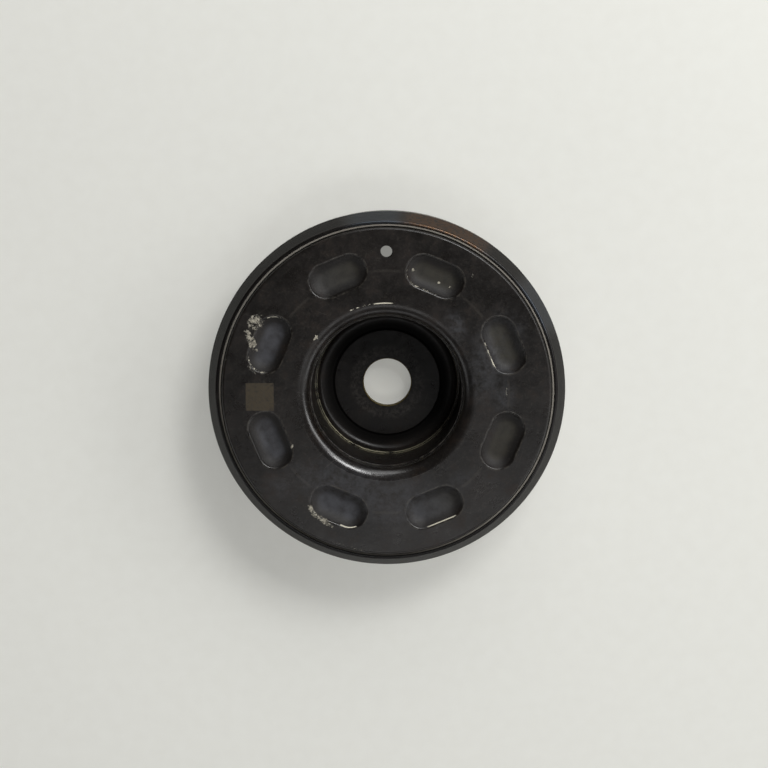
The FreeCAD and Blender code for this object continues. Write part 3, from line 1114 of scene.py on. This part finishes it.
    def circle(self, radius: float, centre: Point = (0.0, 0.0), count: int = 0) -> list[Point]:
        """Points round a circle, as many as the turned surfaces have unless a count is given."""
        total = count or self.shop.circle_points
        turns = [2 * math.pi * k / total for k in range(total)]
        return [(centre[0] + radius * math.cos(t), centre[1] + radius * math.sin(t)) for t in turns]

    def timing_circle(self, radius: float) -> list[Point]:
        """Points round the timing hole."""
        return self.circle(radius, (0.0, self.timing_place), self.timing_points)

    def holes(self) -> list[list[Point]]:
        """The outlines that the web's flat faces leave open: the pockets' patches and the timing hole."""
        ring = np.array(self.pocket_ring(self.patch_half_width()))
        rings: list[list[Point]] = []
        for k in range(self.finish.pockets):
            turn = math.radians(self.finish.first_pocket + k * FULL_TURN / self.finish.pockets)
            spin = np.array(((math.cos(turn), math.sin(turn)), (-math.sin(turn), math.cos(turn))))
            rings.append([tuple(p) for p in ring @ spin])
        rings.append(self.timing_circle(self.timing_radius + self.timing_break))
        return rings

    def plate(self, inner: float, outer: float,
              up: float) -> tuple[list[tuple[float, float, float]], list[tuple]]:
        """One flat face of the web between two circles, with its openings left out.

        Args:
            inner: the inner circle's radius.
            outer: the outer circle's radius.
            up: the face's height.

        Returns:
            Points and faces.
        """
        loops = [self.circle(outer), self.circle(inner)] + self.holes()
        flat: list[Point] = []
        edges: list[tuple[int, int]] = []
        owner: list[int] = []
        for number, loop in enumerate(loops):
            first = len(flat)
            flat += loop
            owner += [number] * len(loop)
            edges += [(first + k, first + (k + 1) % len(loop)) for k in range(len(loop))]
        made = delaunay_2d_cdt([Vector(p) for p in flat], edges, [], 0, 1e-7)
        points, triangles, origins = made[0], made[2], made[3]
        whose = [owner[origin[0]] for origin in origins]
        kept = [tuple(t) for t in triangles if len({whose[i] for i in t}) > 1 or whose[t[0]] == 0]
        return [(p[0], p[1], up) for p in points], kept

    def base(self) -> bpy.types.Mesh:
        """The web's two flat faces and the wall of the timing hole."""
        front = self.plate(self.web_inner, self.front_outer, self.height(0))
        back = self.plate(self.web_inner, self.rear_outer, self.height(self.sheet))
        points = front[0] + back[0]
        faces = front[1] + [tuple(i + len(front[0]) for i in face) for face in back[1]]
        wide, narrow = self.timing_radius + self.timing_break, self.timing_radius
        rings = ((wide, 0), (narrow, self.timing_break), (narrow, self.sheet - self.timing_break),
                 (wide, self.sheet))
        count = self.timing_points
        first = len(points)
        for radius, depth in rings:
            points += [(x, y, self.height(depth)) for x, y in self.timing_circle(radius)]
        for row in range(len(rings) - 1):
            for k in range(count):
                a, b = first + row * count + k, first + row * count + (k + 1) % count
                faces.append((a, b, b + count, a + count))
        return mesh_of("hub_disc_web", points, faces)

    def build(self) -> bpy.types.Object:
        """Makes the dressed disc.

        Returns:
            The finished piece.
        """
        material = self.finish.material()
        piece = self.shop.piece("dressed_hub_disc", self.base())
        self.shop.turn(piece, [self.inner_line(), self.outer_line()], False, material)
        pattern, finish = self.pocket_pattern(), self.finish
        self.shop.repeat.apply(piece, pattern, finish.pockets, finish.first_pocket, material)
        self.shop.hand_over(piece, "hub_disc", "hub_steel")
        return piece


@dataclass
class RubberRing:
    """The rubber in the track, with a rounded front edge in the seam."""

    shop: Shop
    track: Track
    finish: BloomedRubber
    rear: float
    front: float
    thickness: float = 1.3
    foot: float = 0.35

    def build(self) -> bpy.types.Object:
        """Makes the dressed rubber.

        Returns:
            The finished piece.
        """
        inner, outer = self.track.corners(0), self.track.corners(self.thickness)
        tip = self.thickness / 2
        line = outline([(inner[0][0], self.front, tip), (outer[0][0], self.front, tip), outer[0], outer[1],
                        (outer[1][0], self.rear, self.foot), (inner[1][0], self.rear, self.foot),
                        inner[1], inner[0]], closed=True)
        piece = self.shop.piece("dressed_rubber_ring")
        self.shop.turn(piece, [line], True, self.finish.material())
        self.shop.hand_over(piece, "rubber_ring", "track_rubber")
        return piece


@dataclass
class BeltRing:
    """The turned ring with the bevelled flange and the poly-V grooves."""

    shop: Shop
    track: Track
    finish: TurnedSteel
    outside: float
    rubber: float = 1.3
    nose_depth: float = 2.0
    nose_flat: float = 1.0
    nose_inner: float = 0.3
    nose_outer: float = 1.3
    bevel_depth: float = 7.8
    bevel_radius: float = 1.0
    land: float = 3.8
    flange_rise: float = 1.2
    rear_rise: float = 0.2
    ribs: int = 6
    pitch: float = 3.56
    rib_depth: float = 2.8
    flank_angle: float = 20.0
    root_flat: float = 0.5
    chamfer: float = 0.6
    crest_round: float = 0.28
    root_round: float = 0.22
    edge_break: float = 0.2

    def corners(self) -> list[Corner]:
        """The ring's section, from the nose over the flange and grooves to the rear and the track."""
        inner = self.track.corners(self.rubber)
        top, nose = self.track.top, inner[0][0]
        rise, run = self.outside - nose - self.nose_flat, self.bevel_depth - self.nose_depth
        land_front = top - self.bevel_depth - self.bevel_radius * math.tan(math.atan2(rise, run) / 2)
        land_rear = land_front - self.land
        flank = math.tan(math.radians(self.flank_angle))
        mouth = self.root_flat / 2 + self.rib_depth * flank
        crest = self.outside - self.flange_rise
        root = crest - self.rib_depth
        line: list[Corner] = [
            (nose, top - self.nose_depth, self.nose_inner),
            (nose + self.nose_flat, top - self.nose_depth, self.nose_outer),
            (self.outside, top - self.bevel_depth, self.bevel_radius),
            (self.outside, land_rear, self.edge_break),
        ]
        first = land_rear - self.flange_rise * flank - mouth
        for i in range(self.ribs):
            middle = first - i * self.pitch
            if i > 0:
                line.append((crest, middle + mouth, self.crest_round))
            line.append((root, middle + self.root_flat / 2, self.root_round))
            line.append((root, middle - self.root_flat / 2, self.root_round))
            if i < self.ribs - 1:
                line.append((crest, middle - mouth, self.crest_round))
        last = first - (self.ribs - 1) * self.pitch - mouth
        land = crest + self.rear_rise
        line += [
            (land, last - self.rear_rise * flank, self.edge_break),
            (land, self.chamfer, 0),
            (land - self.chamfer, 0, 0),
            (inner[1][0] + self.chamfer, 0, 0),
            (inner[1][0], self.chamfer, 0),
            inner[1],
            inner[0],
        ]
        return line

    def build(self) -> bpy.types.Object:
        """Makes the dressed ring.

        Returns:
            The finished piece.
        """
        piece = self.shop.piece("dressed_belt_ring")
        line = outline(self.corners(), closed=True, support=0.12)
        self.shop.turn(piece, [line], True, self.finish.material())
        self.shop.hand_over(piece, "belt_ring", "ring_steel")
        return piece


@dataclass(frozen=True)
class Lamp:
    """A soft rectangular lamp that faces the pulley; its compass side runs clockwise from +Y."""

    name: str
    lean: float
    compass: float
    away: float
    size: Point
    radiance: float


@dataclass
class Studio:
    """The floor, the lamps and the camera."""

    aim: Vector
    camera_distance: float = 0.700
    camera_tilt: float = 8.5
    camera_side: float = 0.75
    lens_px: float = 1764.0
    frame_px: float = 768.0
    web_centre_px: Point = (386.3, 393.0)
    floor: str = "#d7d7d1"
    floor_speck: str = "#b9b5aa"
    floor_glow: float = 0.36
    floor_gap: float = 0.00005
    ambient: str = "#f2f1ee"
    ambient_strength: float = 0.03
    lamps: tuple[Lamp, ...] = (
        Lamp("key", 44.0, 30.0, 1.2, (0.44, 0.34), 13.0),
        Lamp("window", 60.0, 62.0, 1.2, (0.94, 0.36), 3.8),
        Lamp("window_side", 60.0, 6.0, 1.2, (0.70, 0.34), 2.6),
        Lamp("window_right", 60.0, 103.0, 1.2, (0.45, 0.34), 1.5),
        Lamp("overhead", 24.0, 170.0, 1.2, (0.90, 0.34), 1.75),
        Lamp("fill", 42.0, 120.0, 1.2, (0.42, 0.34), 0.8),
        Lamp("board_right", 78.0, 126.0, 1.2, (0.85, 0.34), 2.4),
        Lamp("board_front", 78.0, 182.0, 1.2, (1.20, 0.34), 1.3),
        Lamp("board_left", 78.0, 237.0, 1.2, (0.90, 0.34), 1.6),
        Lamp("board_far", 78.0, 0.0, 1.2, (0.45, 0.34), 1.5),
    )

    def toward(self, lean: float, compass: float) -> Vector:
        """A direction that leans from straight up, towards a compass angle clockwise from +Y."""
        a, c = math.radians(lean), math.radians(compass)
        return Vector((math.sin(a) * math.sin(c), math.sin(a) * math.cos(c), math.cos(a)))

    def make_camera(self) -> None:
        """Sets the camera at the photograph's viewing angle."""
        scene = bpy.context.scene
        data = bpy.data.cameras.new("studio_camera")
        camera = bpy.data.objects.new("studio_camera", data)
        scene.collection.objects.link(camera)
        scene.camera = camera
        data.sensor_width = 36.0
        data.lens = self.lens_px / self.frame_px * data.sensor_width
        side, tilt = math.radians(self.camera_side), math.radians(self.camera_tilt)
        sight = Vector((math.sin(side), math.sin(tilt), math.cos(tilt))).normalized()
        right = Vector((0, 1, 0)).cross(sight).normalized()
        shift = self.camera_distance / self.lens_px
        across = (self.frame_px / 2 - self.web_centre_px[0]) * shift
        rise = (self.web_centre_px[1] - self.frame_px / 2) * shift
        look = self.aim + right * across + sight.cross(right) * rise
        place = self.aim + sight * self.camera_distance
        back = (place - look).normalized()
        right = Vector((0, 1, 0)).cross(back).normalized()
        camera.matrix_world = Matrix((right, back.cross(right), back)).transposed().to_4x4()
        camera.location = place

    def hang(self, lamp: Lamp) -> None:
        """Hangs one lamp."""
        data = bpy.data.lights.new(lamp.name, "AREA")
        data.shape = "RECTANGLE"
        data.size, data.size_y = lamp.size
        data.energy = lamp.radiance * math.pi * lamp.size[0] * lamp.size[1]
        item = bpy.data.objects.new(lamp.name, data)
        bpy.context.scene.collection.objects.link(item)
        direction = self.toward(lamp.lean, lamp.compass)
        right = Vector((0, 0, 1)).cross(direction).normalized()
        turn = Matrix((right, direction.cross(right), direction)).transposed().to_4x4()
        item.matrix_world = Matrix.Translation(self.aim + direction * lamp.away) @ turn

    def make_floor(self) -> None:
        """Lays the pale floor, which glows a little for the camera and still takes the shadow."""
        size = 3.0
        mesh = bpy.data.meshes.new("floor")
        low = -self.floor_gap
        spots = [(x * size, y * size, low) for x, y in ((-1, -1), (1, -1), (1, 1), (-1, 1))]
        mesh.from_pydata(spots, [], [(0, 1, 2, 3)])
        floor = bpy.data.objects.new("floor", mesh)
        bpy.context.scene.collection.objects.link(floor)
        material = bpy.data.materials.new("pale_board")
        material.use_nodes = True
        material.node_tree.nodes.clear()
        graph = Graph(material.node_tree)
        rays = graph.add("ShaderNodeLightPath").outputs
        glow = graph.add(MATH, {0: rays["Is Camera Ray"], 1: self.floor_glow}, operation="MULTIPLY")
        grain = graph.add(NOISE, {"Scale": 900.0, "Detail": 2.0})
        tone = graph.add(RANGE, {0: grain.outputs[0], 1: 0.3, 2: 0.7, 3: 0.0, 4: 0.06})
        shades = {0: tone.outputs[0], 6: linear(self.floor), 7: linear(self.floor_speck)}
        colour = graph.add(MIX, shades, data_type="RGBA")
        matt = graph.add("ShaderNodeBsdfDiffuse", {0: colour.outputs[2]})
        light = graph.add("ShaderNodeEmission", {0: colour.outputs[2], 1: glow})
        both = graph.add("ShaderNodeAddShader", {0: matt, 1: light})
        graph.add("ShaderNodeOutputMaterial", {"Surface": both})
        mesh.materials.append(material)

    def make_world(self) -> None:
        """Fills the shadows with an even pale light."""
        world = bpy.data.worlds.new("studio_air")
        world.use_nodes = True
        world.node_tree.nodes.clear()
        graph = Graph(world.node_tree)
        air = graph.add("ShaderNodeBackground", {0: linear(self.ambient), 1: self.ambient_strength})
        graph.add("ShaderNodeOutputWorld", {"Surface": air})
        bpy.context.scene.world = world

    def build(self) -> None:
        """Makes the whole studio."""
        self.make_camera()
        self.make_floor()
        self.make_world()
        for lamp in self.lamps:
            self.hang(lamp)
        bpy.context.scene.view_settings.view_transform = "Standard"


def main() -> None:
    """Builds the pieces in order, dresses them and sets the studio round them."""
    logging.basicConfig(level=logging.INFO, format="%(message)s")
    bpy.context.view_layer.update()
    hub_low, hub_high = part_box("hub_disc")
    ring_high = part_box("belt_ring")[1]
    rubber_low, rubber_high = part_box("rubber_ring")
    top = hub_high.z * PER_M
    shop = Shop()
    track = Track(top=top, disc_radius=hub_high.x * PER_M)
    pieces = (
        HubDisc(shop, track, DippedSteel(web_height=top), rear=hub_low.z * PER_M),
        RubberRing(shop, track, BloomedRubber(), rear=rubber_low.z * PER_M, front=rubber_high.z * PER_M),
        BeltRing(shop, track, TurnedSteel(), outside=ring_high.x * PER_M),
    )
    for piece in pieces:
        made = piece.build()
        LOG.info("built %s", made.name)
    Studio(aim=Vector((0, 0, top * MM))).build()


if __name__ == "__main__":
    main()
